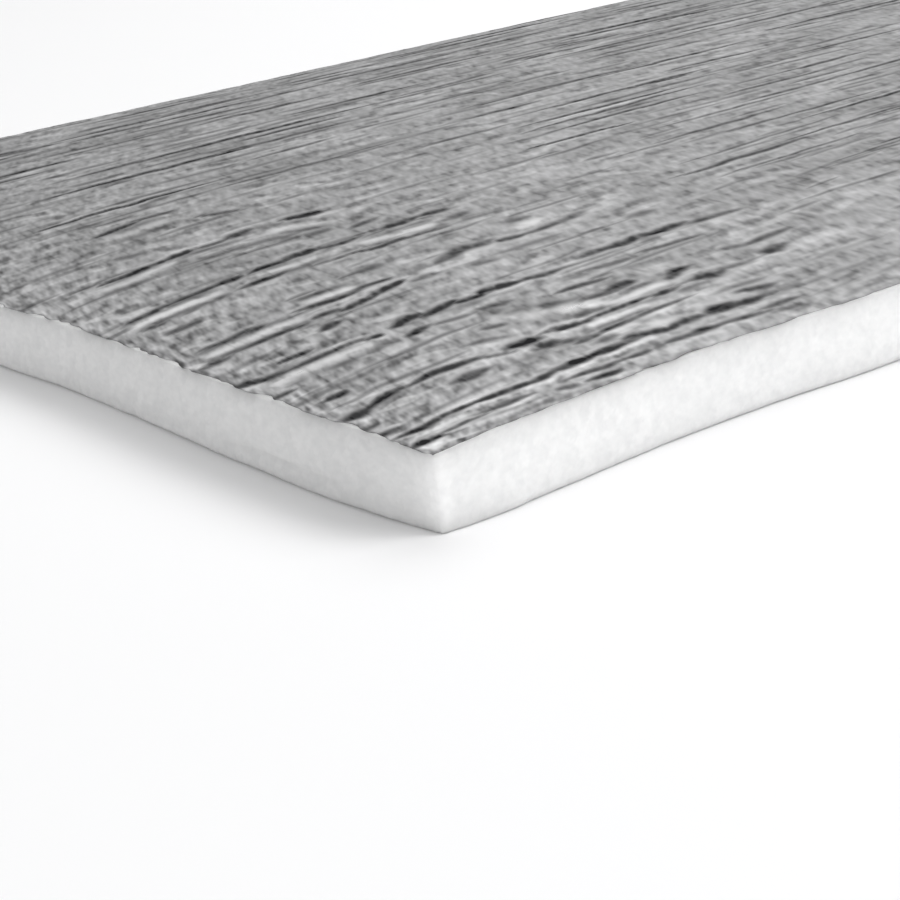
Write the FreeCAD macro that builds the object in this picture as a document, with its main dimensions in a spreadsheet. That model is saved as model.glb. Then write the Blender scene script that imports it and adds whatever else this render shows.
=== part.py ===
# A flat insulation board: a sheet of white closed-cell foam with a metallised foil bonded
# over the whole of its upper face. Foil and foam are trimmed in one cut, so their edges are flush.
# The origin is the middle of the underside. +X runs along the board's length, which is also the
# way the creases of the foil run, +Y runs across its width and +Z points up through the foil.
# All sizes are in millimetres.

import FreeCAD, Part
import Sketcher
import os

PARTS_FOLDER = "parts"

# The driving dimensions. Each one is a cell of the size sheet, and nothing else sets a size.
board_length = 1000.0
board_width = 500.0
foam_thickness = 20.0
foil_thickness = 0.1
corner_radius = 4.0
lower_edge_radius = 1.6

SIZE_NOTES = [
    ("board_length", board_length, "length of the board, along the creases of the foil"),
    ("board_width", board_width, "width of the board, across the creases"),
    ("foam_thickness", foam_thickness, "thickness of the foam alone"),
    ("foil_thickness", foil_thickness, "thickness of the bonded foil facing"),
    ("corner_radius", corner_radius, "rounding of the four upright corners"),
    ("lower_edge_radius", lower_edge_radius, "rounding of the foam's lower edge"),
]


def add_size_sheet(doc):
    """Writes the driving dimensions into a spreadsheet, one named cell for each."""
    sheet = doc.addObject("Spreadsheet::Sheet", "sizes")
    for row, (alias, value, note) in enumerate(SIZE_NOTES, start=1):
        sheet.set(f"A{row}", alias)
        sheet.set(f"B{row}", str(value))
        sheet.set(f"C{row}", note)
        sheet.setAlias(f"B{row}", alias)
    doc.recompute()
    return sheet


def origin_plane(body, role):
    """Finds one of a body's own origin planes by its role."""
    return next(item for item in body.Origin.OriginFeatures if item.Role == role)


def add_board_outline(body, name):
    """Draws the board's rectangle on the body's ground plane, centred on the origin."""
    sketch = body.newObject("Sketcher::SketchObject", name)
    sketch.AttachmentSupport = [(origin_plane(body, "XY_Plane"), "")]
    sketch.MapMode = "FlatFace"

    half_length = board_length / 2
    half_width = board_width / 2
    corners = [
        FreeCAD.Vector(-half_length, -half_width, 0),
        FreeCAD.Vector(half_length, -half_width, 0),
        FreeCAD.Vector(half_length, half_width, 0),
        FreeCAD.Vector(-half_length, half_width, 0),
    ]
    start_point, end_point, origin_point = 1, 2, (-1, 1)
    for index, corner in enumerate(corners):
        sketch.addGeometry(Part.LineSegment(corner, corners[(index + 1) % 4]), False)
    for index in range(4):
        following = (index + 1) % 4
        sketch.addConstraint(
            Sketcher.Constraint("Coincident", index, end_point, following, start_point)
        )
    front, right, back, left = range(4)
    for line in (front, back):
        sketch.addConstraint(Sketcher.Constraint("Horizontal", line))
    for line in (right, left):
        sketch.addConstraint(Sketcher.Constraint("Vertical", line))
    sketch.addConstraint(
        Sketcher.Constraint("Symmetric", front, start_point, back, start_point, *origin_point)
    )
    along = sketch.addConstraint(
        Sketcher.Constraint("DistanceX", front, start_point, front, end_point, 2 * half_length)
    )
    sketch.renameConstraint(along, "along_creases")
    sketch.setExpression("Constraints.along_creases", "sizes.board_length")
    across = sketch.addConstraint(
        Sketcher.Constraint("DistanceY", right, start_point, right, end_point, 2 * half_width)
    )
    sketch.renameConstraint(across, "across_creases")
    sketch.setExpression("Constraints.across_creases", "sizes.board_width")
    return sketch


def add_pad(body, sketch, name, thickness_cell):
    """Gives the outline its thickness, upward."""
    pad = body.newObject("PartDesign::Pad", name)
    pad.Profile = sketch
    pad.setExpression("Length", thickness_cell)
    sketch.Visibility = False
    return pad


def upright_edges(shape):
    """Names the edges that stand along +Z."""
    names = []
    for number, edge in enumerate(shape.Edges, start=1):
        low, high = edge.BoundBox.ZMin, edge.BoundBox.ZMax
        if abs(edge.Length - (high - low)) < Part.Precision.confusion():
            names.append(f"Edge{number}")
    return names


def lowest_edges(shape):
    """Names the edges that lie wholly on the underside."""
    floor = shape.BoundBox.ZMin
    names = []
    for number, edge in enumerate(shape.Edges, start=1):
        if edge.BoundBox.ZMax - floor < Part.Precision.confusion():
            names.append(f"Edge{number}")
    return names


def add_rounding(body, base, edge_names, name, radius_cell):
    """Rounds the named edges of the feature before it."""
    rounding = body.newObject("PartDesign::Fillet", name)
    rounding.Base = (base, edge_names)
    rounding.setExpression("Radius", radius_cell)
    return rounding


def make_foam_core(doc):
    """The foam sheet: a flat slab with rounded corners and a softened lower edge."""
    body = doc.addObject("PartDesign::Body", "foam_core")
    body.Label = "foam_core"
    outline = add_board_outline(body, "foam_outline")
    slab = add_pad(body, outline, "foam_slab", "sizes.foam_thickness")
    doc.recompute()
    corners = add_rounding(
        body, slab, upright_edges(slab.Shape), "foam_corners", "sizes.corner_radius"
    )
    doc.recompute()
    add_rounding(
        body, corners, lowest_edges(corners.Shape), "foam_lower_edge", "sizes.lower_edge_radius"
    )
    return body


def make_foil_facing(doc):
    """The foil: a thin skin on the foam's upper face, with the outline of the foam."""
    body = doc.addObject("PartDesign::Body", "foil_facing")
    body.Label = "foil_facing"
    body.setExpression(".Placement.Base.z", "sizes.foam_thickness")
    outline = add_board_outline(body, "foil_outline")
    skin = add_pad(body, outline, "foil_skin", "sizes.foil_thickness")
    doc.recompute()
    add_rounding(body, skin, upright_edges(skin.Shape), "foil_corners", "sizes.corner_radius")
    return body


def check_model(doc, bodies):
    """Stops on any failed feature, and on a body that is not one sound solid."""
    for item in doc.Objects:
        for state in item.State:
            if state in ("Invalid", "Error"):
                raise RuntimeError(f"{item.Name} is {state}")
    for body in bodies:
        shape = body.Shape
        if shape.isNull() or not shape.isValid() or len(shape.Solids) != 1:
            raise RuntimeError(f"{body.Label} is not one valid solid")


def export_bodies(bodies):
    """Writes one STEP file for each piece, named after it."""
    os.makedirs(PARTS_FOLDER, exist_ok=True)
    for body in bodies:
        body.Shape.exportStep(os.path.join(PARTS_FOLDER, body.Label + ".step"))
        box = body.Shape.optimalBoundingBox(False, False)
        print(
            f"{body.Label}: {box.XLength:.2f} x {box.YLength:.2f} x {box.ZLength:.2f} mm,"
            f" from z {box.ZMin:.2f} to {box.ZMax:.2f}, volume {body.Shape.Volume:.0f} mm3"
        )


doc = FreeCAD.newDocument("foil_faced_foam_board")
add_size_sheet(doc)
board_pieces = [make_foam_core(doc), make_foil_facing(doc)]
doc.recompute()
check_model(doc, board_pieces)
export_bodies(board_pieces)
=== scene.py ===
# A foil-faced foam insulation board, lying flat and seen across its near left corner.
# Sizes in the dictionaries are millimetres unless a note says otherwise, and places on the board are
# measured from that corner: x along the front edge, y along the left end, z up from the floor. The
# meshes are in metres.

import math
import time

import bpy
import numpy as np
from mathutils import Matrix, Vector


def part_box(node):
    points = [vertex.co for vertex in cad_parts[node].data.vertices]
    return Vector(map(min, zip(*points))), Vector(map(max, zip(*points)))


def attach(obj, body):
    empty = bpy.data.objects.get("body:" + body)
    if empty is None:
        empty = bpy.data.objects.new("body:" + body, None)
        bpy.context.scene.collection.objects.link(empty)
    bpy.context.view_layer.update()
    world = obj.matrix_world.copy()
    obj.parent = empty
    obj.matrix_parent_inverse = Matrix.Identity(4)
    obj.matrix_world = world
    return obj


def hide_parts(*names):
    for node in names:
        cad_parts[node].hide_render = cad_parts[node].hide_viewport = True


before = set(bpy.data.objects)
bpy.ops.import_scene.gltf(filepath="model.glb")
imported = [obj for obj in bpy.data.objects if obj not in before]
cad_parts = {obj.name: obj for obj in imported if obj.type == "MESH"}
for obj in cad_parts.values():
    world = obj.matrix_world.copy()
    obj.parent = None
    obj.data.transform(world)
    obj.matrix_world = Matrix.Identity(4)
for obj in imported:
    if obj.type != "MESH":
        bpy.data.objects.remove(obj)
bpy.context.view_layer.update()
startTime = time.time()

mm = 0.001
foamLow, foamHigh = (np.array(corner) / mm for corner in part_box("foam_core"))
boardLength = foamHigh[0] - foamLow[0]
boardWidth = foamHigh[1] - foamLow[1]
halfway = boardLength + boardWidth  # along the edge from the near corner to the far one
perimeter = 2 * halfway
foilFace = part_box("foil_facing")[1][2] / mm  # height of the foil's upper face
nearCorner = np.array([foamLow[0], foamLow[1], 0.0])

outline = {
    "cornerRadius": 2.2,     # of the four corners in plan
    "nearStep": 0.65,        # spacing of the points of the edge at the near corner
    "stepGrowth": 0.0011,    # what each mm of distance from that corner adds to the spacing
    "cutWander": 0.18,       # how far the knife strayed in short waves
    "wanderWave": 7.0,
    "cutDrift": 0.2,         # and in long waves
    "driftWave": 45.0,
    "frontBow": 2.4,         # the slow wave of the front edge beside the near corner
    "frontBowWave": 200.0,
    "frontBowStart": 20.0,
    "leftBow": 1.4,          # and that of the left end
    "leftBowWave": 220.0,
    "bowFade": 150.0,        # where both start to die out, and over how far
    "cornerFlare": 1.6,      # how far the near corner's upper edge stands out
    "leftFlare": 12.0,       # the reach of the flare along the left end
    "frontFlare": 3.0,       # and along the front edge
}


# Noise and places

def stations(length, stepAt):
    # Places from 0 to length that are stepAt(place) apart: the running sum of 1 / stepAt, cut into
    # equal parts.
    samples = 6001
    fine = np.linspace(0.0, length, samples)
    middle = (fine[1:] + fine[:-1]) / 2
    count = np.concatenate([[0.0], np.cumsum(np.diff(fine) / stepAt(middle))])
    return np.interp(np.linspace(0.0, count[-1], int(math.ceil(count[-1])) + 1), count, fine)


def cloud(u, v, seed):
    # Smooth noise from -1 to 1 with features one unit long: random values at whole u and v, and between
    # them a blend by 3t^2 - 2t^3 both ways.
    size = 512
    lattice = np.random.default_rng(seed).uniform(-1.0, 1.0, (size, size))
    column = np.floor(u).astype(int)
    row = np.floor(v).astype(int)
    across = u - column
    along = v - row
    across = across * across * (3.0 - 2.0 * across)
    along = along * along * (3.0 - 2.0 * along)

    def at(i, j):
        return lattice[(column + i) % size, (row + j) % size]

    near = at(0, 0) * (1.0 - across) + at(1, 0) * across
    far = at(0, 1) * (1.0 - across) + at(1, 1) * across
    return near * (1.0 - along) + far * along


def ripple(place, wave, seed):
    # Smooth noise along a line, from -1 to 1, with a random value every `wave` mm.
    return cloud(place / wave, np.full_like(place, 0.5), seed)


def smooth(t):
    # 0 up to t = 0, 1 from t = 1, and 3t^2 - 2t^3 between.
    t = np.clip(t, 0.0, 1.0)
    return t * t * (3.0 - 2.0 * t)


# The board's outline

def roundCorners(x, y):
    # Turns the squares at the board's four corners into quarter discs: with a and b from 0 to 1 towards
    # the corner, a becomes a * sqrt(1 - b^2 / 2) and b becomes b * sqrt(1 - a^2 / 2).
    radius = outline["cornerRadius"]
    leftward = x < boardLength / 2
    frontward = y < boardWidth / 2
    a = np.clip(1.0 - np.where(leftward, x, boardLength - x) / radius, 0.0, 1.0)
    b = np.clip(1.0 - np.where(frontward, y, boardWidth - y) / radius, 0.0, 1.0)
    inX = radius * (a - a * np.sqrt(1.0 - b * b / 2))
    inY = radius * (b - b * np.sqrt(1.0 - a * a / 2))
    return x + np.where(leftward, inX, -inX), y + np.where(frontward, inY, -inY)


def aroundBoard(places, inset):
    # Points of the rectangle `inset` mm inside the board's sides. A place counts mm along the full
    # rectangle: front edge, right end, back edge, left end.
    ends = [0.0, boardLength, halfway, halfway + boardLength, perimeter]
    x = np.interp(places, ends, [0.0, boardLength, boardLength, 0.0, 0.0])
    y = np.interp(places, ends, [0.0, 0.0, boardWidth, boardWidth, 0.0])
    x = inset + x * (boardLength - 2 * inset) / boardLength
    y = inset + y * (boardWidth - 2 * inset) / boardWidth
    return roundCorners(x, y)


def edgePlaces():
    # Places along the perimeter, closest together at the near corner, where they start and end.
    def stepAt(distance):
        return outline["nearStep"] + outline["stepGrowth"] * distance

    firstHalf = stations(halfway, stepAt)
    return np.concatenate([firstHalf, (perimeter - firstHalf[1:-1])[::-1]])


def flareAt(places):
    # The upper edge's flare at the near corner: it dies out with exp(-distance / reach), and its reach
    # along the left end is longer than along the front edge.
    alongLeft = np.exp(-(perimeter - places) / outline["leftFlare"])
    alongFront = np.exp(-places / outline["frontFlare"])
    return outline["cornerFlare"] * np.maximum(alongLeft, alongFront)


def knifeInset(places):
    # How far the cut runs inside the nominal outline: two waves, and near the corner a long slow bow of
    # either side, a sine that dies out between bowFade and twice bowFade, all less the flare.
    back = perimeter - places
    start = outline["frontBowStart"]
    fade = outline["bowFade"]
    front = outline["frontBow"] * np.sin(2 * np.pi * (places - start) / outline["frontBowWave"])
    front = front * smooth(places / start + 0.5) * (1.0 - smooth((places - fade) / fade))
    left = outline["leftBow"] * np.sin(2 * np.pi * back / outline["leftBowWave"])
    left = left * (1.0 - smooth((back - fade) / fade))
    wander = outline["cutWander"] * (1.0 + ripple(places, outline["wanderWave"], 3))
    drift = outline["cutDrift"] * (1.0 + ripple(places, outline["driftWave"], 4))
    return front - left + wander + drift - flareAt(places)


def edgeLine(places):
    # The cut edge in plan: the rounded rectangle, moved inwards by the knife's wander, with the
    # outward direction at each point, which is the tangent turned a quarter round.
    x, y = aroundBoard(places, 0.0)
    tangentX = np.roll(x, -1) - np.roll(x, 1)
    tangentY = np.roll(y, -1) - np.roll(y, 1)
    size = np.hypot(tangentX, tangentY)
    outX = tangentY / size
    outY = -tangentX / size
    inset = knifeInset(places)
    return x - outX * inset, y - outY * inset, outX, outY


# Meshes

def ringBands(count, rings, start):
    # Four-sided faces between rings of `count` points that lie one after another in the point list.
    here = np.arange(count)
    there = (here + 1) % count
    bands = []
    for ring in range(rings - 1):
        low = start + ring * count
        bands.append(np.stack([low + here, low + there, low + count + there, low + count + here], axis=1))
    return np.concatenate(bands)


def makeMesh(name, points, faceSets, smoothSets, body, node):
    # Builds one piece from points in mm and lists of faces, of which the first `smoothSets` are smooth, puts
    # it under the body's empty and hides the CAD part that it takes the place of.
    points = (points + nearCorner) * mm
    corners = np.concatenate([faces.ravel() for faces in faceSets])
    counts = np.concatenate([np.full(len(faces), faces.shape[1]) for faces in faceSets])
    starts = np.concatenate([[0], np.cumsum(counts)[:-1]])
    mesh = bpy.data.meshes.new(name)
    mesh.vertices.add(len(points))
    mesh.vertices.foreach_set("co", points.ravel())
    mesh.loops.add(len(corners))
    mesh.loops.foreach_set("vertex_index", corners.astype(np.int32))
    mesh.polygons.add(len(counts))
    mesh.polygons.foreach_set("loop_start", starts.astype(np.int32))
    mesh.polygons.foreach_set("loop_total", counts.astype(np.int32))
    mesh.update(calc_edges=True)
    mesh.validate()
    curved = sum(len(faces) for faces in faceSets[:smoothSets])
    mesh.polygons.foreach_set("use_smooth", np.arange(len(counts)) < curved)
    piece = bpy.data.objects.new(name, mesh)
    bpy.context.scene.collection.objects.link(piece)
    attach(piece, body)
    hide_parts(node)
    return piece


def addValues(piece, name, values):
    # Stores one number for each point of the mesh, for its material.
    layer = piece.data.attributes.new(name, "FLOAT", "POINT")
    layer.data.foreach_set("value", values.astype(np.float32))


def addFlowMap(piece, name, u, v):
    # Stores two coordinates for each point as a UV map, in metres.
    mesh = piece.data
    index = np.empty(len(mesh.loops), dtype=np.int32)
    mesh.loops.foreach_get("vertex_index", index)
    layer = mesh.uv_layers.new(name=name)
    layer.data.foreach_set("uv", (np.stack([u[index], v[index]], axis=1) * mm).ravel())


# The foil

foil = {
    "rowStep": 0.52,          # spacing across the creases at the front edge
    "rowGrowth": 0.0046,      # what each mm further back adds to it
    "backEase": 20.0,         # how far from the back edge it closes up again
    "columnStep": 1.7,        # spacing along the creases at the left end
    "columnGrowth": 0.0094,
    "edgeStep": 0.6,          # spacing along the creases right at the ends
    "leftEase": 10.0,         # how far from each end it closes up
    "rightEase": 40.0,
    "swells": ((0.16, 130.0, 38.0), (0.05, 34.0, 7.5), (0.025, 14.0, 3.4)),  # height, length, width
    "skin": 0.006,            # how much of the foil's thickness its edge shows
    "bedDepth": 0.9,          # how far the hidden underside lies below the foil's mean height
    "bedInset": 4.0,          # and how far inside the board's sides
    "sideTear": (0.3, 2.0),   # how far the foil stays back from the cut on average, and a wave about it
    "endTear": (0.6, 3.0),    # the same at the two ends
    "tearStart": 16.0,        # how far from the near corner the tear takes to build up
    "tearReach": 14.0,        # how far in the sheet follows its torn edge
    "wearReach": 2.0,
    "cornerDroop": 0.1,       # how far the near corner hangs
    "droopReach": 10.0,
    "lean": 0.5,              # how steeply the creases lean away from the front edge, at most
    "leanReach": 60.0,        # how far back the lean takes to build up
    "drift": 60.0,            # how far along the creases lose their lean
    "sway": 14.0,             # the slow wave that they have further along
    "swayLength": 170.0,      # for one radian of it
    "swayStart": 300.0,
    "nearLength": 205.0,      # the part at the near corner that nearCreases covers
    "nearWidth": 295.0,
    "strongCreases": 120,     # creases beyond it
    "mediumCreases": 330,
    "faintCreases": 900,
    "fade": 0.16,             # how much fainter the furrows' painted shade is at the near corner and far along
    "fadeReach": 45.0,
    "fadeFrom": 110.0,
    "fadeOver": 50.0,
    "alongGrain": (0.7, 60.0),    # how much longer the grain gets away from the left end, and how soon
    "acrossGrain": (1.3, 110.0),  # and how much wider away from the front edge
}

crease = {
    "tip": 1.5,          # how far the pointed ends run on
    "tipGrowth": 0.06,   # and what each mm of length adds to that
    "halfWidth": 0.42,   # in widths of the crease, like the next three
    "reach": 3.2,        # how far from its line it is worked out
    "wander": 0.3,
    "rise": 0.045,       # height of a full lip
    "sink": 0.45,        # depth of the furrow, in heights of a lip
    "taper": 0.7,        # how much narrower it gets at its ends
    "lipPlace": 1.4,     # in half widths from its line
    "lipWidth": 0.8,
    "finest": 1.1,       # half the narrowest crease that the mesh can show, in steps of its rows
}

ridge = {
    "halfWidth": 0.46,   # in widths of the ridge, like the next two
    "wander": 0.25,
    "rise": 0.016,
    "clearing": 0.8,     # how much of the painted shade under it goes
    "linePlace": 2.0,    # the painted dark lines of shade beside it, in half widths from its own line
    "lineWidth": 0.75,
    "lineDark": 0.7,
    "lineMarks": (9.0, 4.0),  # length and width of the marks that they break up into
}

# The creases at the near corner, with their ends as read off the photograph: start x and y, end x and y,
# width, then from 0 to 1 how deep the furrow is and how dark its painted shade, how bright the painted
# highlight on the raised lip is on its near side, and how bright on its far side.
nearCreases = [
    (62, 269, 82, 278, 6.0, 0.75, 0.3, 0.2),
    (81, 279, 97, 280, 5.5, 0.5, 0.3, 0.2),
    (98, 263, 112, 254, 6.0, 0.6, 0.2, 0.2),
    (112, 230, 126, 225, 7.5, 0.95, 0.3, 0.3),
    (29, 207, 62, 219, 5.2, 0.85, 0.3, 0.5),
    (59, 217, 72, 221, 5.6, 1.0, 0.3, 0.5),
    (70, 220, 87, 223, 4.6, 0.55, 0.3, 0.6),
    (85, 224, 98, 229, 7.5, 0.7, 0.2, 0.2),
    (64, 205, 79, 208, 5.0, 0.5, 0.2, 0.1),
    (80, 209, 104, 208, 6.5, 0.3, 0.1, 0.1),
    (102, 199, 111, 201, 7.0, 0.45, 0.2, 0.1),
    (50, 233, 60, 234, 7.0, 0.35, 0.0, 0.1),
    (66, 177, 84, 181, 5.0, 0.8, 0.3, 0.3),
    (81, 181, 95, 182, 6.5, 1.0, 0.3, 0.4),
    (93, 181, 110, 182, 5.0, 0.65, 0.3, 0.2),
    (54, 163, 72, 166, 4.6, 0.8, 0.2, 0.5),
    (82, 165, 93, 165, 4.5, 0.4, 0.1, 0.3),
    (12, 160, 34, 168, 4.6, 0.8, 0.3, 0.1),
    (33, 167, 54, 174, 4.6, 0.75, 0.3, 0.1),
    (52, 174, 61, 177, 5.6, 0.95, 0.3, 0.1),
    (10, 150, 19, 151, 4.0, 0.4, 0.1, 0.2),
    (28, 155, 35, 156, 4.0, 0.45, 0.1, 0.2),
    (14, 140, 26, 143, 5.0, 0.5, 0.2, 0.1),
    (10, 117, 36, 123, 4.2, 0.65, 0.2, 0.2),
    (28, 120, 36, 123, 4.6, 0.8, 0.0, 0.0),
    (17, 108, 43, 112, 4.0, 0.75, 0.2, 0.2),
    (3, 103, 13, 105, 5.0, 0.55, 0.1, 0.4),
    (49, 126, 69, 128, 5.0, 1.0, 0.3, 0.4),
    (47, 115, 58, 116, 4.5, 0.65, 0.2, 0.3),
    (56, 115, 70, 118, 5.0, 1.0, 0.4, 0.5),
    (70, 119, 85, 125, 5.4, 1.0, 0.4, 0.4),
    (71, 130, 85, 130, 3.8, 0.6, 0.2, 0.2),
    (42, 104, 49, 106, 6.0, 0.8, 0.3, 0.1),
    (18, 88, 24, 89, 4.0, 0.85, 0.4, 0.2),
    (23, 88, 28, 90, 4.0, 0.8, 0.4, 0.1),
    (1, 80, 8, 79, 5.5, 0.95, 0.4, 0.3),
    (6, 78, 16, 80, 4.6, 0.75, 0.3, 0.2),
    (15, 80, 40, 86, 4.2, 0.7, 0.3, 0.5),
    (38, 86, 46, 85, 4.0, 0.6, 0.4, 0.2),
    (43, 84, 48, 85, 4.0, 0.85, 0.4, 0.1),
    (0, 64, 6, 64, 4.0, 0.6, 0.3, 0.2),
    (8, 52, 14, 53, 4.6, 0.9, 0.4, 0.3),
    (117, 194, 129, 200, 6.5, 0.55, 0.2, 0.1),
    (122, 185, 136, 187, 7.5, 0.9, 0.4, 0.2),
    (139, 186, 150, 185, 7.0, 0.95, 0.3, 0.2),
    (140, 174, 150, 175, 8.0, 0.55, 0.2, 0.2),
    (86, 165, 133, 166, 4.4, 0.7, 0.3, 0.3),
    (84, 147, 93, 146, 8.0, 0.5, 0.1, 0.1),
    (104, 133, 131, 139, 8.5, 0.65, 0.4, 0.2),
    (129, 136, 139, 135, 5.5, 0.75, 0.3, 0.5),
    (136, 135, 166, 137, 5.0, 0.5, 0.3, 0.4),
    (120, 124, 145, 124, 5.0, 0.35, 0.1, 0.1),
    (107, 119, 115, 118, 6.0, 0.4, 0.1, 0.1),
    (87, 121, 96, 122, 5.5, 0.55, 0.2, 0.1),
    (55, 88, 66, 91, 6.4, 0.95, 0.3, 0.4),
    (52, 78, 60, 80, 4.6, 0.9, 0.3, 0.2),
    (65, 87, 80, 94, 5.6, 1.0, 0.4, 0.4),
    (79, 91, 89, 92, 4.4, 0.8, 0.3, 0.3),
    (89, 94, 102, 92, 6.0, 1.0, 0.4, 0.3),
    (104, 93, 117, 92, 5.0, 0.75, 0.3, 0.2),
    (79, 80, 88, 80, 5.0, 0.5, 0.1, 0.2),
    (61, 80, 74, 78, 4.0, 0.35, 0.3, 0.1),
    (67, 64, 73, 64, 4.6, 0.5, 0.2, 0.1),
    (28, 44, 51, 46, 4.4, 1.0, 0.4, 0.4),
    (50, 45, 58, 41, 3.0, 0.5, 0.3, 0.2),
    (22, 42, 30, 44, 2.8, 0.45, 0.2, 0.2),
    (12, 38, 24, 43, 4.2, 0.9, 0.3, 0.4),
    (2, 34, 10, 37, 5.4, 0.95, 0.3, 0.2),
    (60, 45, 70, 46, 6.4, 1.0, 0.3, 0.3),
    (55, 58, 66, 52, 4.0, 0.35, 0.1, 0.1),
    (74, 48, 86, 46, 3.8, 0.8, 0.3, 0.6),
    (64, 38, 71, 39, 6.5, 0.95, 0.3, 0.2),
    (101, 73, 118, 73, 4.2, 0.65, 0.3, 0.3),
    (34, 36, 46, 36, 5.0, 0.6, 0.2, 0.3),
    (37, 34, 42, 35, 4.5, 0.7, 0.2, 0.1),
    (2, 14, 29, 19, 3.8, 1.0, 0.4, 0.4),
    (27, 19, 47, 19, 3.8, 1.0, 0.5, 0.4),
    (45, 18, 53, 20, 3.8, 0.9, 0.4, 0.4),
    (53, 21, 62, 19, 3.0, 0.5, 0.4, 0.2),
    (1, 7, 9, 7, 4.0, 1.0, 0.4, 0.4),
    (9, 9, 24, 9, 2.6, 0.6, 0.4, 0.3),
    (25, 11, 39, 11, 3.4, 0.6, 0.5, 0.2),
    (0, 19, 6, 20, 4.5, 0.6, 0.2, 0.2),
    (0, 26, 4, 27, 4.0, 0.45, 0.2, 0.2),
    (155, 137, 169, 140, 6.5, 0.6, 0.2, 0.2),
    (171, 120, 180, 120, 7.0, 0.5, 0.1, 0.2),
    (130, 98, 141, 96, 6.0, 0.75, 0.3, 0.3),
    (141, 99, 155, 98, 6.6, 1.0, 0.4, 0.4),
    (154, 100, 162, 98, 5.4, 0.8, 0.4, 0.2),
    (160, 98, 174, 98, 6.4, 0.95, 0.4, 0.3),
    (172, 98, 195, 95, 5.0, 0.6, 0.3, 0.2),
    (143, 86, 166, 84, 4.0, 0.55, 0.3, 0.2),
    (118, 85, 137, 83, 4.4, 0.45, 0.2, 0.2),
    (111, 62, 120, 63, 6.4, 0.95, 0.3, 0.4),
    (100, 62, 112, 61, 4.4, 0.5, 0.5, 0.3),
    (77, 46, 88, 46, 4.2, 0.95, 0.3, 0.8),
    (88, 47, 112, 49, 3.4, 0.8, 0.4, 0.5),
    (113, 48, 121, 48, 4.0, 0.9, 0.4, 0.5),
    (75, 33, 117, 40, 3.2, 0.6, 0.5, 0.2),
    (69, 37, 75, 37, 4.4, 0.6, 0.2, 0.1),
    (73, 34, 80, 34, 4.4, 0.65, 0.2, 0.1),
    (76, 31, 83, 30, 5.0, 0.5, 0.2, 0.1),
    (127, 58, 138, 61, 5.6, 0.75, 0.3, 0.2),
    (131, 50, 139, 49, 6.5, 1.0, 0.2, 0.3),
    (137, 51, 152, 49, 4.6, 0.5, 0.2, 0.4),
    (160, 54, 170, 53, 6.4, 1.0, 0.3, 0.3),
    (157, 66, 164, 65, 5.0, 0.5, 0.1, 0.2),
    (164, 63, 185, 66, 4.4, 0.6, 0.2, 0.3),
    (128, 31, 138, 29, 4.6, 0.7, 0.2, 0.3),
    (109, 24, 120, 23, 6.4, 1.0, 0.4, 0.4),
    (117, 22, 127, 22, 5.0, 0.95, 0.5, 0.3),
    (127, 22, 133, 22, 4.2, 0.6, 0.2, 0.2),
    (96, 23, 107, 24, 5.0, 0.9, 0.3, 0.3),
    (87, 24, 95, 22, 5.0, 0.95, 0.3, 0.5),
    (83, 26, 89, 25, 5.5, 0.7, 0.2, 0.4),
    (54, 21, 61, 20, 4.0, 0.65, 0.3, 0.3),
    (59, 21, 66, 21, 4.2, 1.0, 0.4, 0.4),
    (67, 22, 79, 23, 4.2, 1.0, 0.5, 0.4),
    (77, 23, 85, 23, 3.4, 0.55, 0.3, 0.2),
    (53, 12, 70, 12, 3.8, 0.7, 0.4, 0.3),
    (55, 6, 63, 5, 3.6, 0.85, 0.3, 0.3),
    (46, 8, 50, 8, 4.5, 0.6, 0.2, 0.2),
    (72, 12, 78, 12, 3.6, 0.6, 0.2, 0.2),
    (86, 12, 95, 12, 3.8, 0.6, 0.3, 0.2),
    (95, 13, 102, 13, 4.4, 0.8, 0.3, 0.3),
    (104, 13, 118, 11, 3.4, 0.55, 0.3, 0.2),
    (121, 14, 132, 14, 3.4, 0.55, 0.3, 0.2),
]

# The ridges there: start x and y, end x and y, width, brightness of their painted highlight from 0 to 1,
# which also scales their height.
nearRidges = [
    (58, 261, 93, 270, 7.0, 0.55),
    (99, 219, 118, 213, 8.0, 0.7),
    (22, 198, 62, 211, 5.5, 0.8),
    (60, 211, 90, 212, 5.5, 0.7),
    (64, 170, 102, 174, 5.0, 0.6),
    (8, 154, 50, 166, 4.8, 0.95),
    (5, 109, 47, 119, 4.8, 1.0),
    (54, 131, 74, 133, 5.0, 1.0),
    (6, 74, 45, 80, 5.5, 0.9),
    (103, 174, 137, 174, 6.5, 0.9),
    (142, 142, 156, 145, 8.0, 0.6),
    (70, 126, 83, 127, 3.4, 0.7),
    (79, 63, 88, 64, 7.0, 0.5),
    (8, 18, 44, 24, 3.0, 0.7),
    (3, 11, 25, 14, 3.2, 0.8),
    (88, 58, 104, 58, 7.0, 1.0),
    (127, 68, 137, 67, 8.0, 0.6),
    (98, 53, 125, 54, 3.8, 0.9),
    (81, 42, 107, 43, 3.0, 0.7),
    (93, 28, 101, 27, 5.0, 0.7),
]


def leanAt(v):
    # Share of the drift that a crease takes: it builds up as 1 - exp(-v / reach) and fades as
    # 1 - (v / width)^4 towards the back edge.
    return foil["lean"] * (1.0 - np.exp(-v / foil["leanReach"])) * (1.0 - (v / boardWidth) ** 4)


def driftAt(x):
    # How far a fully leaning crease has moved back after x mm: drift * (1 - exp(-x / drift)), then a slow
    # sine.
    sway = foil["sway"] * np.sin(x / foil["swayLength"]) * smooth(x / foil["swayStart"])
    return foil["drift"] * (1.0 - np.exp(-x / foil["drift"])) + sway


def flowToBoard(x, v):
    # y of the point x mm along the crease line that leaves the left end v mm from the corner.
    return v + leanAt(v) * driftAt(x)


def boardToFlow(x, y):
    # The crease line through x and y, found by putting v = y - lean(v) * drift(x) back into itself.
    v = y
    for _ in range(30):
        v = 0.5 * v + 0.5 * np.clip(y - leanAt(v) * driftAt(x), 0.0, boardWidth)
    return v


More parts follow.
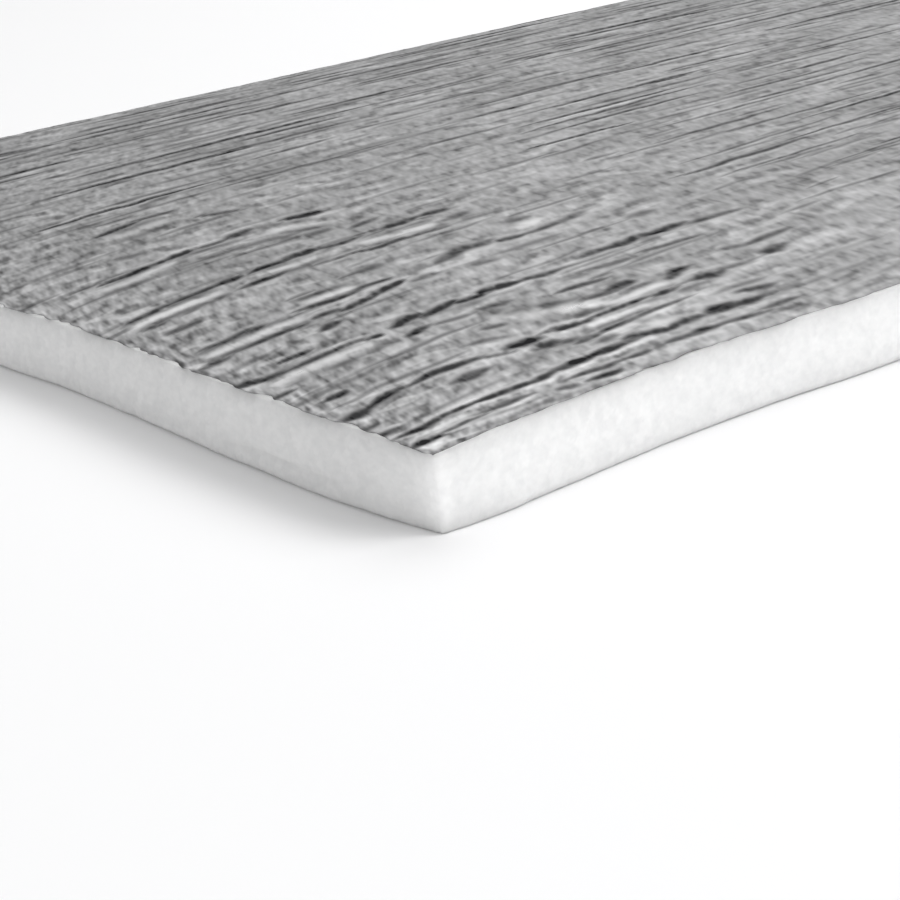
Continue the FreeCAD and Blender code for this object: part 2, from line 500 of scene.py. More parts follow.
def flowEnds(x0, y0, x1, y1):
    # The crease lines through the two ends of a near crease or ridge.
    return boardToFlow(np.array([x0, x1], dtype=float), np.array([y0, y1], dtype=float))


def randomCreases(draw):
    # Creases over the rest of the sheet, strong, medium and faint: rows like those of the near ones, but
    # with crease lines in place of y. Among the near ones only faint ones are kept.
    kinds = [
        (foil["strongCreases"], (45, 150), (2.8, 5.0), (0.7, 1.0)),
        (foil["mediumCreases"], (25, 110), (2.0, 4.0), (0.35, 0.75)),
        (foil["faintCreases"], (10, 60), (2.2, 4.0), (0.15, 0.4)),
    ]
    faintDepth = 0.35  # the deepest that still counts as faint
    rows = []
    for count, lengths, widths, depths in kinds:
        for _ in range(count):
            x = draw.uniform(-20, boardLength)
            v = draw.uniform(2, boardWidth - 2)
            length = draw.uniform(*lengths)
            depth = draw.uniform(*depths)
            width = draw.uniform(*widths)
            near = depth * draw.uniform(0.1, 1.0)
            far = depth * draw.uniform(0.0, 0.8)
            slope = draw.normal(0.0, 0.02) * length
            amongNear = x < foil["nearLength"] and flowToBoard(x, v) < foil["nearWidth"] and x + length > 0
            if amongNear and depth > faintDepth:
                continue
            rows.append((x, v, x + length, v + slope, width, depth, near, far))
    return rows


def pressCreases(x, v, creases, height, dark, shine):
    # Adds the creases to the three grids. Each is a furrow exp(-d^2) with raised lips
    # exp(-((d -+ lipPlace) / lipWidth)^2) beside it, where d is the distance from its line in half widths.
    # With s from 0 in its middle to 1 at an end, it narrows as 1 - taper * s^2, and its strength 1 - s^4
    # comes and goes a little along it.
    step = np.gradient(v)
    for number, (x0, v0, x1, v1, width, depth, near, far) in enumerate(creases):
        reach = crease["reach"] * width
        columns = slice(*np.searchsorted(x, (x0, x1)))
        rows = slice(*np.searchsorted(v, (min(v0, v1) - reach, max(v0, v1) + reach)))
        if columns.start >= columns.stop or rows.start >= rows.stop:
            continue
        here = x[columns]
        along = (here - x0) / (x1 - x0)
        wander = crease["wander"] * width * ripple(here + 57.0 * number, 9.0, 21)
        centre = v0 + (v1 - v0) * along + wander
        fromMiddle = np.abs(2.0 * along - 1.0)
        swell = 1.0 - fromMiddle ** 4
        strength = swell * (0.85 + 0.15 * ripple(here + 91.0 * number, 12.0, 22))
        half = np.maximum(width * crease["halfWidth"], crease["finest"] * step[rows])[None, :]
        half = half * (1.0 - crease["taper"] * fromMiddle[:, None] ** 2)
        d = (v[rows][None, :] - centre[:, None]) / half
        furrow = np.exp(-d * d) * strength[:, None]
        nearLip = np.exp(-((d + crease["lipPlace"]) / crease["lipWidth"]) ** 2) * swell[:, None] * near
        farLip = np.exp(-((d - crease["lipPlace"]) / crease["lipWidth"]) ** 2) * swell[:, None] * far
        rise = crease["rise"] * width
        height[columns, rows] += rise * (nearLip + farLip) - crease["sink"] * rise * depth * furrow
        # painted shade in the furrow and a painted highlight on the lips
        dark[columns, rows] = np.maximum(dark[columns, rows], depth * furrow)
        shine[columns, rows] = np.maximum(shine[columns, rows], nearLip + farLip)


def raiseRidges(x, v, height, dark, shine):
    # Adds the near ridges to the three grids. Each is raised and painted bright, a painted highlight, by
    # exp(-d^2), with a painted dark line of shade exp(-((|d| - linePlace) / lineWidth)^2) that comes and
    # goes on either side, where d is the distance from its line in half widths. Its strength is 1 - s^6,
    # with s from 0 in its middle to 1 at an end.
    step = np.gradient(v)
    for x0, y0, x1, y1, width, bright in nearRidges:
        v0, v1 = flowEnds(x0, y0, x1, y1)
        columns = slice(*np.searchsorted(x, (x0, x1)))
        here = x[columns]
        along = (here - x0) / (x1 - x0)
        centre = v0 + (v1 - v0) * along + ridge["wander"] * width * ripple(here + 31.0 * x0, 12.0, 23)
        strength = 1.0 - np.abs(2.0 * along - 1.0) ** 6
        strength = strength * (0.88 + 0.12 * ripple(here + 77.0 * y0, 8.0, 24))
        half = np.maximum(width * ridge["halfWidth"], crease["finest"] * step)[None, :]
        d = (v[None, :] - centre[:, None]) / half
        raised = np.exp(-d * d) * strength[:, None] * bright
        height[columns] += ridge["rise"] * width * raised
        shine[columns] = np.maximum(shine[columns], raised)
        # the painted shade of the creases clears under the painted highlight
        dark[columns] *= 1.0 - ridge["clearing"] * raised
        beside = np.exp(-((np.abs(d) - ridge["linePlace"]) / ridge["lineWidth"]) ** 2)
        markX, markV = np.meshgrid(here / ridge["lineMarks"][0], v / ridge["lineMarks"][1], indexing="ij")
        broken = np.clip(0.55 + 0.45 * cloud(markX, markV, 25), 0.0, 1.0)
        beside = beside * strength[:, None] * bright * broken
        dark[columns] = np.maximum(dark[columns], ridge["lineDark"] * beside)


def foilRelief(x, v, draw):
    # Height, painted shade and painted highlight of the foil on the grid of x and v: soft swells, then the
    # creases and the ridges. The painted shade fades a little at the near corner, as exp(-distance /
    # fadeReach), and beyond fadeFrom.
    gridX, gridV = np.meshgrid(x, v, indexing="ij")
    height = np.zeros_like(gridX)
    dark = np.zeros_like(gridX)
    shine = np.zeros_like(gridX)
    for number, (rise, length, width) in enumerate(foil["swells"]):
        height += rise * cloud(gridX / length, gridV / width, 11 + number)
    creases = []
    for x0, y0, x1, y1, *rest in nearCreases:
        v0, v1 = flowEnds(x0, y0, x1, y1)
        tip = crease["tip"] + crease["tipGrowth"] * (x1 - x0)
        creases.append((x0 - tip, v0, x1 + tip, v1, *rest))
    creases += randomCreases(draw)
    pressCreases(x, v, creases, height, dark, shine)
    raiseRidges(x, v, height, dark, shine)
    atCorner = np.exp(-np.hypot(gridX, gridV) / foil["fadeReach"])
    farAlong = smooth((gridX - foil["fadeFrom"]) / foil["fadeOver"])
    return height, dark * (1.0 - foil["fade"] * (atCorner + farAlong)), shine


def cutWave(places, seed):
    # The tear of the foil along the cut: two waves, together from -1 to 1.
    return 0.6 * ripple(places, 7.5, seed) + 0.4 * ripple(places, 2.8, seed + 1)


def recede(places, onEnd):
    # How far the foil's edge lies inside the nominal outline: the knife's own wander, and the tear, which
    # spares the near corner.
    mean, wave = foil["endTear"] if onEnd else foil["sideTear"]
    fromCorner = np.minimum(places, perimeter - places)
    tear = np.maximum(0.0, mean + wave * cutWave(places, 31))
    return knifeInset(places) + tear * (0.1 + 0.9 * smooth(fromCorner / foil["tearStart"]))


def grainLength(place, coarser, reach):
    # The length in which the grain counts, for a grain that is fine beside the cut and grows 1 + coarser
    # times as large far from it: the integral of (p + reach) / ((1 + coarser) * p + reach).
    full = 1.0 + coarser
    return place / full + reach * coarser / full ** 2 * np.log(1.0 + full * np.maximum(place, 0.0) / reach)


def foilColumns():
    # Places along the creases, close together at both ends of the board.
    def stepAt(p):
        wide = foil["columnStep"] + foil["columnGrowth"] * p
        fromEnd = smooth(np.minimum(p / foil["leftEase"], (boardLength - p) / foil["rightEase"]))
        return foil["edgeStep"] + (wide - foil["edgeStep"]) * fromEnd

    return stations(boardLength, stepAt)


def foilRows():
    # Places across the creases, close together along the front and back edges.
    def stepAt(p):
        wide = foil["rowStep"] + foil["rowGrowth"] * p
        return foil["rowStep"] + (wide - foil["rowStep"]) * smooth((boardWidth - p) / foil["backEase"])

    return stations(boardWidth, stepAt)


def buildFoil(places):
    # The foil's upper face is a grid whose rows follow the creases. Its edge goes down by one skin, and from
    # there in to a hidden underside. With the piece comes the line of that edge, for the foam to meet.
    x = foilColumns()
    v = foilRows()
    height, dark, shine = foilRelief(x, v, np.random.default_rng(7))
    gridX, gridV = np.meshgrid(x, v, indexing="ij")
    gridY = flowToBoard(gridX, gridV)

    # the four edges draw the sheet in, each over its own neighbourhood only
    def near(distance):
        return np.exp(-(distance / foil["tearReach"]) ** 2)

    fromLeft = recede(perimeter - gridY, True) * near(gridX)
    fromRight = recede(boardLength + gridY, True) * near(boardLength - gridX)
    fromFront = recede(gridX, False) * near(gridY)
    fromBack = recede(halfway + boardLength - gridX, False) * near(boardWidth - gridY)
    topX, topY = roundCorners(gridX + fromLeft - fromRight, gridY + fromFront - fromBack)
    fromEdge = np.minimum(np.minimum(gridX, boardLength - gridX), np.minimum(gridY, boardWidth - gridY))
    worn = np.exp(-(fromEdge / foil["wearReach"]) ** 2)
    droop = foil["cornerDroop"] * np.exp(-np.hypot(gridX, gridY) / foil["droopReach"])
    topZ = foilFace + height - droop
    index = np.arange(gridX.size).reshape(gridX.shape)
    topFaces = np.stack([
        index[:-1, :-1], index[1:, :-1], index[1:, 1:], index[:-1, 1:]
    ], axis=-1).reshape(-1, 4)

    # the cut edge: the grid's border once round from the near corner, the same border one skin lower,
    # and the hidden underside
    border = np.concatenate([index[:-1, 0], index[-1, :-1], index[:0:-1, -1], index[0, :0:-1]])
    borderPlaces = np.concatenate([
        x[:-1], boardLength + gridY[-1, :-1], halfway + boardLength - x[:0:-1], perimeter - gridY[0, :0:-1]
    ])
    topPoints = np.stack([topX.ravel(), topY.ravel(), topZ.ravel()], axis=1)
    lower = topPoints[border] - np.array([0.0, 0.0, foil["skin"]])
    underX, underY = aroundBoard(borderPlaces, foil["bedInset"])
    under = np.stack([underX, underY, np.full_like(underX, foilFace - foil["bedDepth"])], axis=1)
    count = len(border)
    start = len(topPoints)
    here = np.arange(count)
    there = (here + 1) % count
    cut = np.stack([border[there], border[here], start + here, start + there], axis=1)
    bands = ringBands(count, 2, start)[:, ::-1]
    underside = np.arange(start + count, start + 2 * count)[::-1][None, :]
    points = np.concatenate([topPoints, lower, under])
    faceSets = [topFaces, cut, bands, underside]
    piece = makeMesh("foilFacing", points, faceSets, 1, "root", "foil_facing")

    def withBorder(grid):
        flat = grid.ravel()
        return np.concatenate([flat, flat[border], flat[border]])

    # painted shade of the creases, their painted highlight, and the wear along the cut edge
    addValues(piece, "creaseDark", withBorder(dark))
    addValues(piece, "creaseShine", withBorder(shine))
    addValues(piece, "edgeWear", withBorder(worn))
    # the torn edge only cuts the grain off, so its coordinates are those of the points where they ended up
    alongGrain = grainLength(withBorder(topX), *foil["alongGrain"])
    acrossGrain = grainLength(withBorder(gridV + topY - gridY), *foil["acrossGrain"])
    addFlowMap(piece, "flow", alongGrain, acrossGrain)

    around = np.append(borderPlaces, perimeter)
    closed = np.concatenate([lower, lower[:1]])
    return piece, [np.interp(places, around, closed[:, axis]) for axis in range(3)]


# The foam

foam = {
    "cell": 2.7,            # size of the cut cells
    "cellRelief": 0.2,
    "rows": 27,             # rings up the cut face
    "shoulder": 0.3,        # rounding of the edge beside the foil
    "lowerRadius": 2.6,     # rounding of the lower edge
    "lowerWave": 0.5,
    "lift": 0.02,           # how far the lower edge stands off the floor in places
    "splay": 2.4,           # how far the foot of the cut leans out
    "splayStart": 24.0,     # how far from the near corner that takes to build up
    "cornerTaper": 0.7,     # how far the near corner leans in towards the floor
    "taperReach": 9.0,
    "flareTaper": 0.9,      # share of the upper edge's flare that is gone at the foot
    "knifeWave": 0.3,
    "glow": 1.2,            # painted light: the left end made whiter near the near corner, where light from the front wraps round
    "glowReach": 16.0,
    "ledgeHeight": 5.6,     # the step that the knife left across the left end
    "ledgeDepth": 0.7,
    "ledgeWidth": 0.8,
    "ledgeFrom": 30.0,      # where it starts and ends, from the near corner
    "ledgeTo": 92.0,
    "bedGap": 0.02,         # between the foam and the underside of the foil
}


def foamCells(x, y, z, seed):
    # Cut cells: each point takes the nearest and the second nearest of one random centre in every cube of
    # the cell's size. A cell is a shallow dome or dish 1 - r^2, and its walls stand up between them. The
    # three large primes scatter the cubes over a table of random centres.
    kinds = 4096
    table = np.random.default_rng(seed).uniform(0.0, 1.0, (kinds, 4))
    point = np.stack([x, y, z], axis=-1) / foam["cell"]
    base = np.floor(point).astype(int)
    nearest = np.full(x.shape, 9.0)
    second = np.full(x.shape, 9.0)
    tone = np.zeros(x.shape)
    for step in np.ndindex(3, 3, 3):
        cube = base + np.array(step) - 1
        key = (cube[..., 0] * 73856093 ^ cube[..., 1] * 19349663 ^ cube[..., 2] * 83492791) % kinds
        centre = cube + table[key][..., :3]
        gap = np.linalg.norm(point - centre, axis=-1)
        closer = gap < nearest
        second = np.where(closer, nearest, np.minimum(second, gap))
        tone = np.where(closer, table[key][..., 3], tone)
        nearest = np.where(closer, gap, nearest)
    dome = 1.0 - np.clip(nearest, 0.0, 1.0) ** 2
    wall = np.exp(-((second - nearest) / 0.16) ** 2)
    return (tone - 0.35) * dome + 0.25 * wall, tone


def buildFoam(places, foilEdge):
    # The cut face is rings of points, each with its x, y, z and tone: a rounded shoulder from under the
    # foil's edge to the outline, down the face, which leans out towards its foot, to the rounded lower
    # edge, and then the underside in wider and wider steps. The face is moved in and out along the outward
    # direction by the cells, the knife's slow wave, the lean and the ledge.
    edgeX, edgeY, outX, outY = edgeLine(places)
    topX, topY, topZ = foilEdge
    count = len(places)
    shoulder = foam["shoulder"]
    plainTone = 0.5
    rings = [(topX, topY, topZ, plainTone)]
    for angle in np.radians((25.0, 55.0, 90.0)):
        share = math.sin(angle)
        drop = shoulder * (1.0 - math.cos(angle))
        rings.append((topX + (edgeX - topX) * share, topY + (edgeY - topY) * share, topZ - drop, plainTone))

    fromCorner = np.hypot(edgeX, edgeY)
    awayFromCorner = smooth((fromCorner - 5.0) / 16.0)  # the lower edge is sharper right at the corner
    radius = foam["lowerRadius"] + foam["lowerWave"] * ripple(places, 16.0, 41)
    radius = radius * (0.4 + 0.6 * awayFromCorner)
    lift = foam["lift"] * smooth(0.5 + 0.9 * ripple(places, 24.0, 42)) * awayFromCorner
    taper = foam["cornerTaper"] * np.exp(-fromCorner / foam["taperReach"])
    taper = taper + foam["flareTaper"] * flareAt(places)
    splay = foam["splay"] * smooth(fromCorner / foam["splayStart"]) * (1.0 + 0.3 * ripple(places, 37.0, 47))
    slow = foam["knifeWave"] * ripple(places, 31.0, 43)
    onLeftEnd = smooth(2.0 - edgeX / 3.0)
    # painted light: the tone of the left end raised near the near corner
    glow = foam["glow"] * onLeftEnd * np.exp(-fromCorner / foam["glowReach"])
    ledgeSpan = smooth((edgeY - foam["ledgeFrom"]) / 14.0) * smooth((foam["ledgeTo"] - edgeY) / 18.0)
    ledgeDepth = foam["ledgeDepth"] * onLeftEnd * ledgeSpan
    ledgeLine = foam["ledgeHeight"] + 0.8 * ripple(edgeY, 14.0, 45)
    faceTop = topZ - shoulder
    faceLow = lift + radius
    shares = np.linspace(0.0, 1.0, foam["rows"])[1:]
    steps = [(0.0, faceTop + (faceLow - faceTop) * share) for share in shares]
    for angle in np.radians((14.0, 28.0, 42.0, 56.0, 70.0, 84.0)):
        steps.append((radius * (1.0 - math.cos(angle)), lift + radius * (1.0 - math.sin(angle))))
    for number, (inwards, z) in enumerate(steps):
        relief, tone = foamCells(edgeX, edgeY, z, 44)
        bulge = slow * np.sin(np.pi * np.clip((faceTop - z) / (faceTop - faceLow), 0.0, 1.0))
        lean = (splay - taper) * (1.0 - z / foilFace)
        ledge = ledgeDepth * np.exp(-((z - ledgeLine) / foam["ledgeWidth"]) ** 2)
        fade = min(1.0, (number + 1) / 3)
        out = fade * foam["cellRelief"] * relief + bulge + lean - inwards - ledge
        rings.append((edgeX + outX * out, edgeY + outY * out, z, tone + glow))

    for inset, share in ((4.0, 0.6), (9.0, 0.2), (18.0, 0.0)):
        rings.append((*aroundBoard(places, inset), lift * share, plainTone))
    bedRing = len(rings)
    bedHeight = foilFace - foil["bedDepth"] - foam["bedGap"]
    rings.append((*aroundBoard(places, foil["bedInset"]), bedHeight, plainTone))

    full = np.ones(count)
    points = np.concatenate([np.stack([x, y, z * full], axis=1) for x, y, z, _ in rings])
    tones = np.concatenate([tone * full for _, _, _, tone in rings])
    here = np.arange(count)
    there = (here + 1) % count
    low = bedRing * count
    bands = ringBands(count, bedRing, 0)[:, ::-1]
    cap = np.stack([here, there, low + there, low + here], axis=1)
    underside = np.arange(low - count, low)[::-1][None, :]
    bed = np.arange(low, low + count)[None, :]
    piece = makeMesh("foamSheet", points, [bands, cap, underside, bed], 2, "root", "foam_core")
    addValues(piece, "cellTone", tones)
    return piece


# Materials

class Wire:
    # One socket of a material. Python's + - * / and ** between wires, or a wire and a number, add the Math
    # node for it.
    def __init__(self, tree, socket=None):
        self.tree = tree
        self.socket = socket

    def node(self, kind, settings=None, values=None, out=0):
        # Adds any node: first what is set on the node, then numbers, colours or wires for its sockets.
        item = self.tree.nodes.new(kind)
        for key, value in (settings or {}).items():
            if key == "stops":
                for spare in range(len(value) - 2):
                    item.color_ramp.elements.new(0.5)
                for stop, (place, grey) in zip(item.color_ramp.elements, value):
                    stop.position = place
                    stop.color = (grey, grey, grey, 1.0)
            else:
                setattr(item, key, value)
        for key, value in (values or {}).items():
            if isinstance(value, Wire):
                self.tree.links.new(value.socket, item.inputs[key])
            else:
                item.inputs[key].default_value = value
        return Wire(self.tree, item.outputs[out])

    def maths(self, operation, first, second, clamp=False):
        settings = {"operation": operation, "use_clamp": clamp}
        return self.node("ShaderNodeMath", settings, {0: first, 1: second})

    def mix(self, factor, first, second, blend="MIX"):
        return self.node("ShaderNodeMix", {"data_type": "RGBA", "blend_type": blend},
                         {0: factor, 6: first, 7: second}, out=2)

    def noise(self, place, scale, detail, roughness=0.5, dimensions="3D"):
        return self.node("ShaderNodeTexNoise", {"noise_dimensions": dimensions},
                         {"Vector": place, "Scale": scale, "Detail": detail, "Roughness": roughness})

    def __add__(self, other):
        return self.maths("ADD", self, other)

    def __radd__(self, other):
        return self.maths("ADD", other, self)

    def __sub__(self, other):
        return self.maths("SUBTRACT", self, other)

    def __rsub__(self, other):
        return self.maths("SUBTRACT", other, self)

    def __mul__(self, other):
        return self.maths("MULTIPLY", self, other)

    def __truediv__(self, other):
        return self.maths("DIVIDE", self, other)

    def __pow__(self, other):
        return self.maths("POWER", self, other)


def startMaterial(name):
    material = bpy.data.materials.new(name)
    material.use_nodes = True
    tree = material.node_tree
    return material, Wire(tree), tree.nodes["Principled BSDF"]


def plug(wire, shader, name):
    wire.tree.links.new(wire.socket, shader.inputs[name])


def roughen(wire, shader, relief, depth, strength):
    # Lets the relief, `depth` mm deep, tilt the light.
    bump = wire.node("ShaderNodeBump", {}, {"Height": relief, "Distance": depth * mm, "Strength": strength})
    plug(bump, shader, "Normal")


def foilMaterial():
    # Bare satin metal with dashes and grain that follow the creases. The furrows are a second, black shader,
    # a painted shade, because no light gets out of them, and the lips beside them are a painted highlight, a
    # whiter colour.
    look = {
        "metal": (0.36, 0.36, 0.364, 1.0),
        # furrow: painted shade in the furrows; lip: the colour of a painted highlight on the lips beside
        # them
        "furrow": (0.02, 0.02, 0.021, 1.0),
        "lip": (0.97, 0.97, 0.975, 1.0),
        "roughness": 0.36,
        "relief": 0.09,        # mm
        "grain": (5.6, 2.0),   # mm along and across each set of marks, beside the cut edges
        "grainTurn": -52.0,    # degrees from the creases
        "cross": (7.0, 2.2),
        "crossTurn": -74.0,
        "dash": (10.0, 4.6),
        "patch": (34.0, 18.0),
        "lipShift": 3.45,      # mm from a dark dash to the bright one in front of it, a painted highlight
        "freshHalf": 45.0,     # mm of grain from the left end in which the extra strength there halves
    }
    material, wire, shader = startMaterial("satinFoil")
    flow = wire.node("ShaderNodeUVMap", {"uv_map": "flow"})
    dark = wire.node("ShaderNodeAttribute", {"attribute_name": "creaseDark"}, out=2)
    shine = wire.node("ShaderNodeAttribute", {"attribute_name": "creaseShine"}, out=2)
    worn = wire.node("ShaderNodeAttribute", {"attribute_name": "edgeWear"}, out=2)

    def marks(size, detail, turn=0.0, shift=0.0):
        # noise whose features are size[0] mm long and size[1] mm wide, turned from the creases by `turn`
        # degrees and moved `shift` mm towards the front edge
        moved = wire.node("ShaderNodeVectorMath", {"operation": "ADD"}, {0: flow, 1: (0.0, shift * mm, 0.0)})
        turned = wire.node("ShaderNodeVectorRotate", {"rotation_type": "Z_AXIS"},
                           {"Vector": moved, "Angle": math.radians(turn)})
        place = wire.node("ShaderNodeVectorMath", {"operation": "MULTIPLY"},
                          {0: turned, 1: (1 / (size[0] * mm), 1 / (size[1] * mm), 1.0)})
        return wire.noise(place, 1.0, detail, dimensions="2D")

    def ramp(value, none, full):
        # 0 where the value is at `none` or beyond, rising to 1 at `full`
        return wire.node("ShaderNodeMapRange", {"interpolation_type": "SMOOTHSTEP"},
                         {"Value": value, "From Min": none, "From Max": full, "To Min": 0.0, "To Max": 1.0})

    grain = marks(look["grain"], 1.0, turn=look["grainTurn"])
    dash = marks(look["dash"], 1.0)
    lipDash = marks(look["dash"], 1.0, shift=look["lipShift"])
    cross = marks(look["cross"], 1.0, turn=look["crossTurn"])
    patch = marks(look["patch"], 2.0)
    along = wire.node("ShaderNodeSeparateXYZ", {}, {0: flow})
    fresh = 0.7 + wire.maths("POWER", 0.5, along / (look["freshHalf"] * mm)) * 0.9
    tone = (grain - 0.5) * 1.2 + (cross - 0.5) * 0.9 + (dash - 0.5) * 0.7
    tone = (1.0 + tone * fresh + (patch - 0.5) * 0.6) * (1.0 - worn * 0.1)
    metal = wire.mix(1.0, look["metal"], tone, blend="MULTIPLY")
    # painted highlight: the lips and the dashes in front of the dark ones are mixed towards the lip's white,
    # weaker at the worn edge
    lips = wire.maths("ADD", shine * 1.08, ramp(lipDash, 0.44, 0.24) * fresh * 0.28, clamp=True)
    lips = lips * (0.98 - worn * 0.35)
    plug(wire.mix(lips, metal, look["lip"]), shader, "Base Color")
    plug(look["roughness"] + (patch - 0.5) * 0.2 - shine * 0.08 + worn * 0.3, shader, "Roughness")
    shader.inputs["Metallic"].default_value = 1.0
    roughen(wire, shader, (grain * 0.5 + dash + cross * 0.7) * fresh, look["relief"], 1.0)

    # painted shade: the furrows, and dark dashes and marks on the sheet, turn to this black shader
    black = wire.node("ShaderNodeBsdfPrincipled", {},
                      {"Base Color": look["furrow"], "Roughness": 0.9, "Specular IOR Level": 0.0})
    crossed = ramp(cross, 0.42, 0.2) * ramp(patch, 0.55, 0.4)
    cut = dark * (0.97 + (grain - 0.5) * 1.2 + (cross - 0.5) * 0.9 + (dash - 0.5) * 0.6)
    strokes = 1.0 - wire.maths("MAXIMUM", 1.0 - cut, 0.0) ** 2.4
    furrows = strokes + ramp(dash + (grain - 0.5) * 0.3, 0.46, 0.2) * 0.3 + crossed * 0.2
    blackness = wire.maths("MULTIPLY", furrows, 0.96, clamp=True)
    satin = Wire(wire.tree, shader.outputs[0])
    surface = wire.node("ShaderNodeMixShader", {}, {0: blackness, 1: satin, 2: black})
    plug(surface, wire.tree.nodes["Material Output"], "Surface")
    return material


def foamMaterial():
    # White closed-cell foam, soft and a little see-through. Cells, specks and clouds mix a greyer and a
    # whiter tone. Higher up the face is a little whiter, painted light; towards its foot it takes more of
    # the whiter one, painted light against the shade there, and a trace of a grey painted shade.
    look = {
        "white": (0.91, 0.91, 0.906, 1.0),
        "shadow": (0.76, 0.763, 0.766, 1.0),
        # a grey painted shade at the foot, and how much of it
        "footShadeGrey": (0.5, 0.5, 0.505, 1.0),
        "footShadeShare": 0.18,
        "footHeight": 1.6,    # mm in which what is at the foot halves
        "fine": 0.7,          # mm
        "specks": 1.5,        # mm
        "clouds": 16.0,       # mm
        "cellRelief": 0.12,   # mm
        "softness": 18.0,     # mm that light travels inside
    }
    material, wire, shader = startMaterial("whiteFoam")
    place = wire.node("ShaderNodeTexCoord", out=3)
    wide = wire.node("ShaderNodeVectorMath", {"operation": "MULTIPLY"}, {0: place, 1: (0.85, 0.6, 1.0)})
    cells = wire.node("ShaderNodeTexVoronoi", {"feature": "SMOOTH_F1"},
                      {"Vector": place, "Scale": 1 / (foam["cell"] * mm), "Smoothness": 0.4})
    fine = wire.noise(place, 1 / (look["fine"] * mm), 3.0, roughness=0.6)
    specks = wire.noise(wide, 1 / (look["specks"] * mm), 1.0)
    cloudy = wire.noise(place, 1 / (look["clouds"] * mm), 2.0)
    cellTone = wire.node("ShaderNodeAttribute", {"attribute_name": "cellTone"}, out=2)
    height = wire.node("ShaderNodeSeparateXYZ", {}, {0: place}, out=2) / mm
    foot = wire.maths("POWER", 0.5, height / look["footHeight"])
    # the cells' tone carries the painted light of the glow at the near corner
    cut = cellTone * 0.35 + (specks - 0.5) * 0.7 + (cloudy - 0.5) * 0.35
    # painted light: a little whiter with height
    cut = cut + (fine - 0.5) * 0.15 + height * 0.008
    # painted light: whiter towards the foot, against the shade there
    whiter = wire.maths("ADD", cut, foot * 0.4 + 0.19, clamp=True)
    colour = wire.mix(whiter, look["shadow"], look["white"])
    # painted shade at the foot: a share of grey that halves every footHeight mm up
    plug(wire.mix(foot * look["footShadeShare"], colour, look["footShadeGrey"]), shader, "Base Color")
    roughen(wire, shader, (1.0 - cells) + fine * 0.25, look["cellRelief"], 0.8)
    shader.inputs["Roughness"].default_value = 0.75
    shader.inputs["Specular IOR Level"].default_value = 0.25
    shader.inputs["Subsurface Weight"].default_value = 0.8
    shader.inputs["Subsurface Radius"].default_value = (1.0, 1.0, 1.0)
    shader.inputs["Subsurface Scale"].default_value = look["softness"] * mm
    return material


# The studio

studio = {
    "floor": (0.9, 0.9, 0.905, 1.0),
    "floorReach": 60.0,    # m
    "sky": ((0.0, 0.092), (0.17, 0.21), (0.42, 0.485), (0.7, 0.53), (1.0, 0.39)),  # grey from horizon up
    "lightDistance": 3.0,  # m
    "lens": 79.0,
    "sensor": 36.0,
    "standOff": (-235.3, -333.5, 165.6),  # the camera, from the near corner
    "azimuth": -35.8,      # degrees, like the next two
    "elevation": 19.61,
    "roll": -6.47,
}


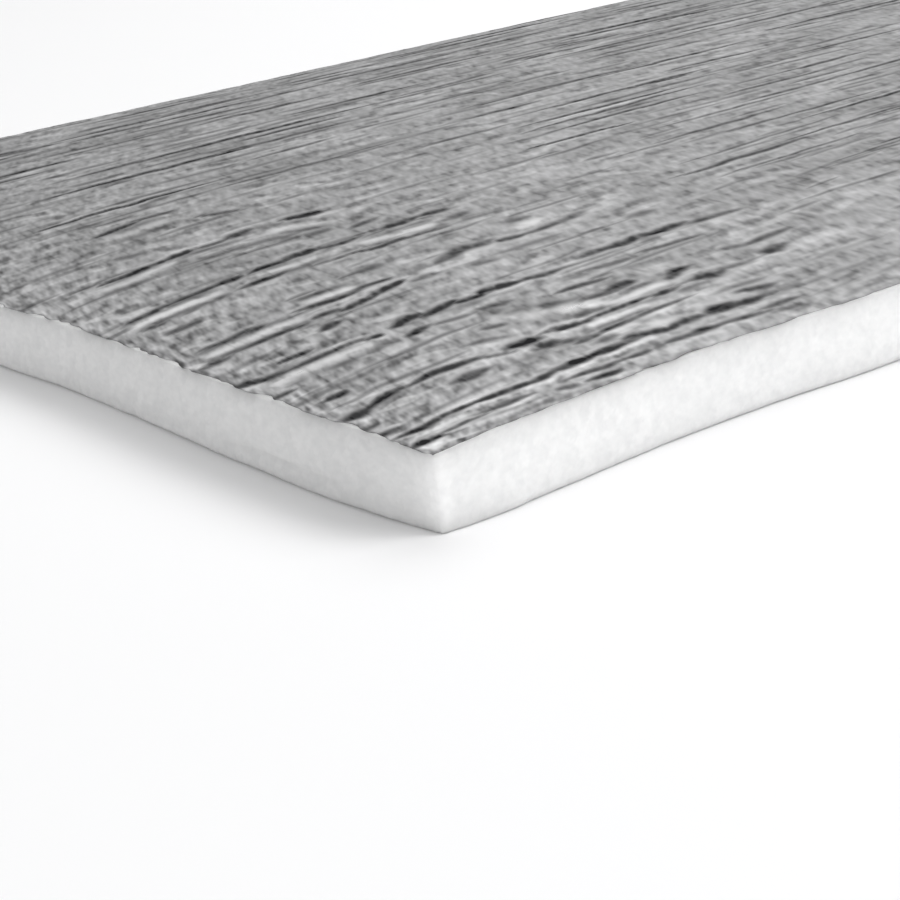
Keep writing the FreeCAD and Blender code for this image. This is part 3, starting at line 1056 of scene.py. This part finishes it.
def buildStudio():
    # A pale floor, a sky that is darkest at the horizon, seven square lights and the photo's camera.
    material, _, shader = startMaterial("paleFloor")
    shader.inputs["Base Color"].default_value = studio["floor"]
    shader.inputs["Roughness"].default_value = 0.9
    shader.inputs["Specular IOR Level"].default_value = 0.0
    mesh = bpy.data.meshes.new("floor")
    reach = studio["floorReach"]
    corners = [(-reach, -reach, 0), (reach, -reach, 0), (reach, reach, 0), (-reach, reach, 0)]
    mesh.from_pydata(corners, [], [(0, 1, 2, 3)])
    mesh.materials.append(material)
    floor = bpy.data.objects.new("floor", mesh)
    bpy.context.scene.collection.objects.link(floor)

    world = bpy.data.worlds.new("softWorld")
    bpy.context.scene.world = world
    world.use_nodes = True
    sky = Wire(world.node_tree)
    direction = sky.node("ShaderNodeTexCoord", out=0)
    upwards = sky.node("ShaderNodeSeparateXYZ", {}, {0: direction}, out=2)
    ramp = sky.node("ShaderNodeValToRGB", {"stops": studio["sky"]}, {"Fac": upwards})
    background = world.node_tree.nodes["Background"]
    sky.tree.links.new(ramp.socket, background.inputs["Color"])

    def softbox(name, azimuth, elevation, size, power, mirrored=True):
        # a square light that faces the near corner, `azimuth` degrees turned from straight in front of the
        # board, with its size in metres and its power in watts; the foil doesn't mirror it when `mirrored`
        # is off, or it would burn out seen from behind
        light = bpy.data.lights.new(name, "AREA")
        light.shape = "SQUARE"
        light.size = size
        light.energy = power
        box = bpy.data.objects.new(name, light)
        a = math.radians(azimuth)
        e = math.radians(elevation)
        away = np.array([math.sin(a) * math.cos(e), -math.cos(a) * math.cos(e), math.sin(e)])
        box.location = nearCorner * mm + away * studio["lightDistance"]
        box.rotation_euler = (math.radians(90 - elevation), 0.0, a)
        box.visible_camera = False
        box.visible_glossy = mirrored
        bpy.context.scene.collection.objects.link(box)

    softbox("keyLight", 30.0, 28.0, 1.2, 33.0, mirrored=False)
    softbox("lowKey", 50.0, 28.0, 1.2, 8.5)
    softbox("highKey", 50.0, 40.0, 1.2, 22.0, mirrored=False)
    softbox("sideLight", 120.0, 50.0, 2.4, 27.0)
    softbox("foilLight", 135.0, 22.0, 3.0, 7.0)
    softbox("backLight", 172.0, 48.0, 2.4, 4.5)
    softbox("leftFill", -80.0, 14.0, 2.4, 20.0)

    camera = bpy.data.cameras.new("camera")
    camera.lens = studio["lens"]
    camera.sensor_width = studio["sensor"]
    viewer = bpy.data.objects.new("camera", camera)
    viewer.location = (nearCorner + np.array(studio["standOff"])) * mm
    turn = Matrix.Rotation(math.radians(studio["azimuth"]), 3, "Z")
    turn = turn @ Matrix.Rotation(math.radians(90 - studio["elevation"]), 3, "X")
    turn = turn @ Matrix.Rotation(math.radians(studio["roll"]), 3, "Z")
    viewer.rotation_euler = turn.to_euler()
    bpy.context.scene.collection.objects.link(viewer)
    bpy.context.scene.camera = viewer
    bpy.context.scene.view_settings.view_transform = "Standard"


buildStudio()
print(f"studio ready after {time.time() - startTime:.1f} s")
places = edgePlaces()
foilPiece, foilEdge = buildFoil(places)
foilPiece.data.materials.append(foilMaterial())
print(f"foil ready after {time.time() - startTime:.1f} s: {len(foilPiece.data.polygons)} faces")
foamPiece = buildFoam(places, foilEdge)
foamPiece.data.materials.append(foamMaterial())
print(f"foam ready after {time.time() - startTime:.1f} s: {len(foamPiece.data.polygons)} faces")
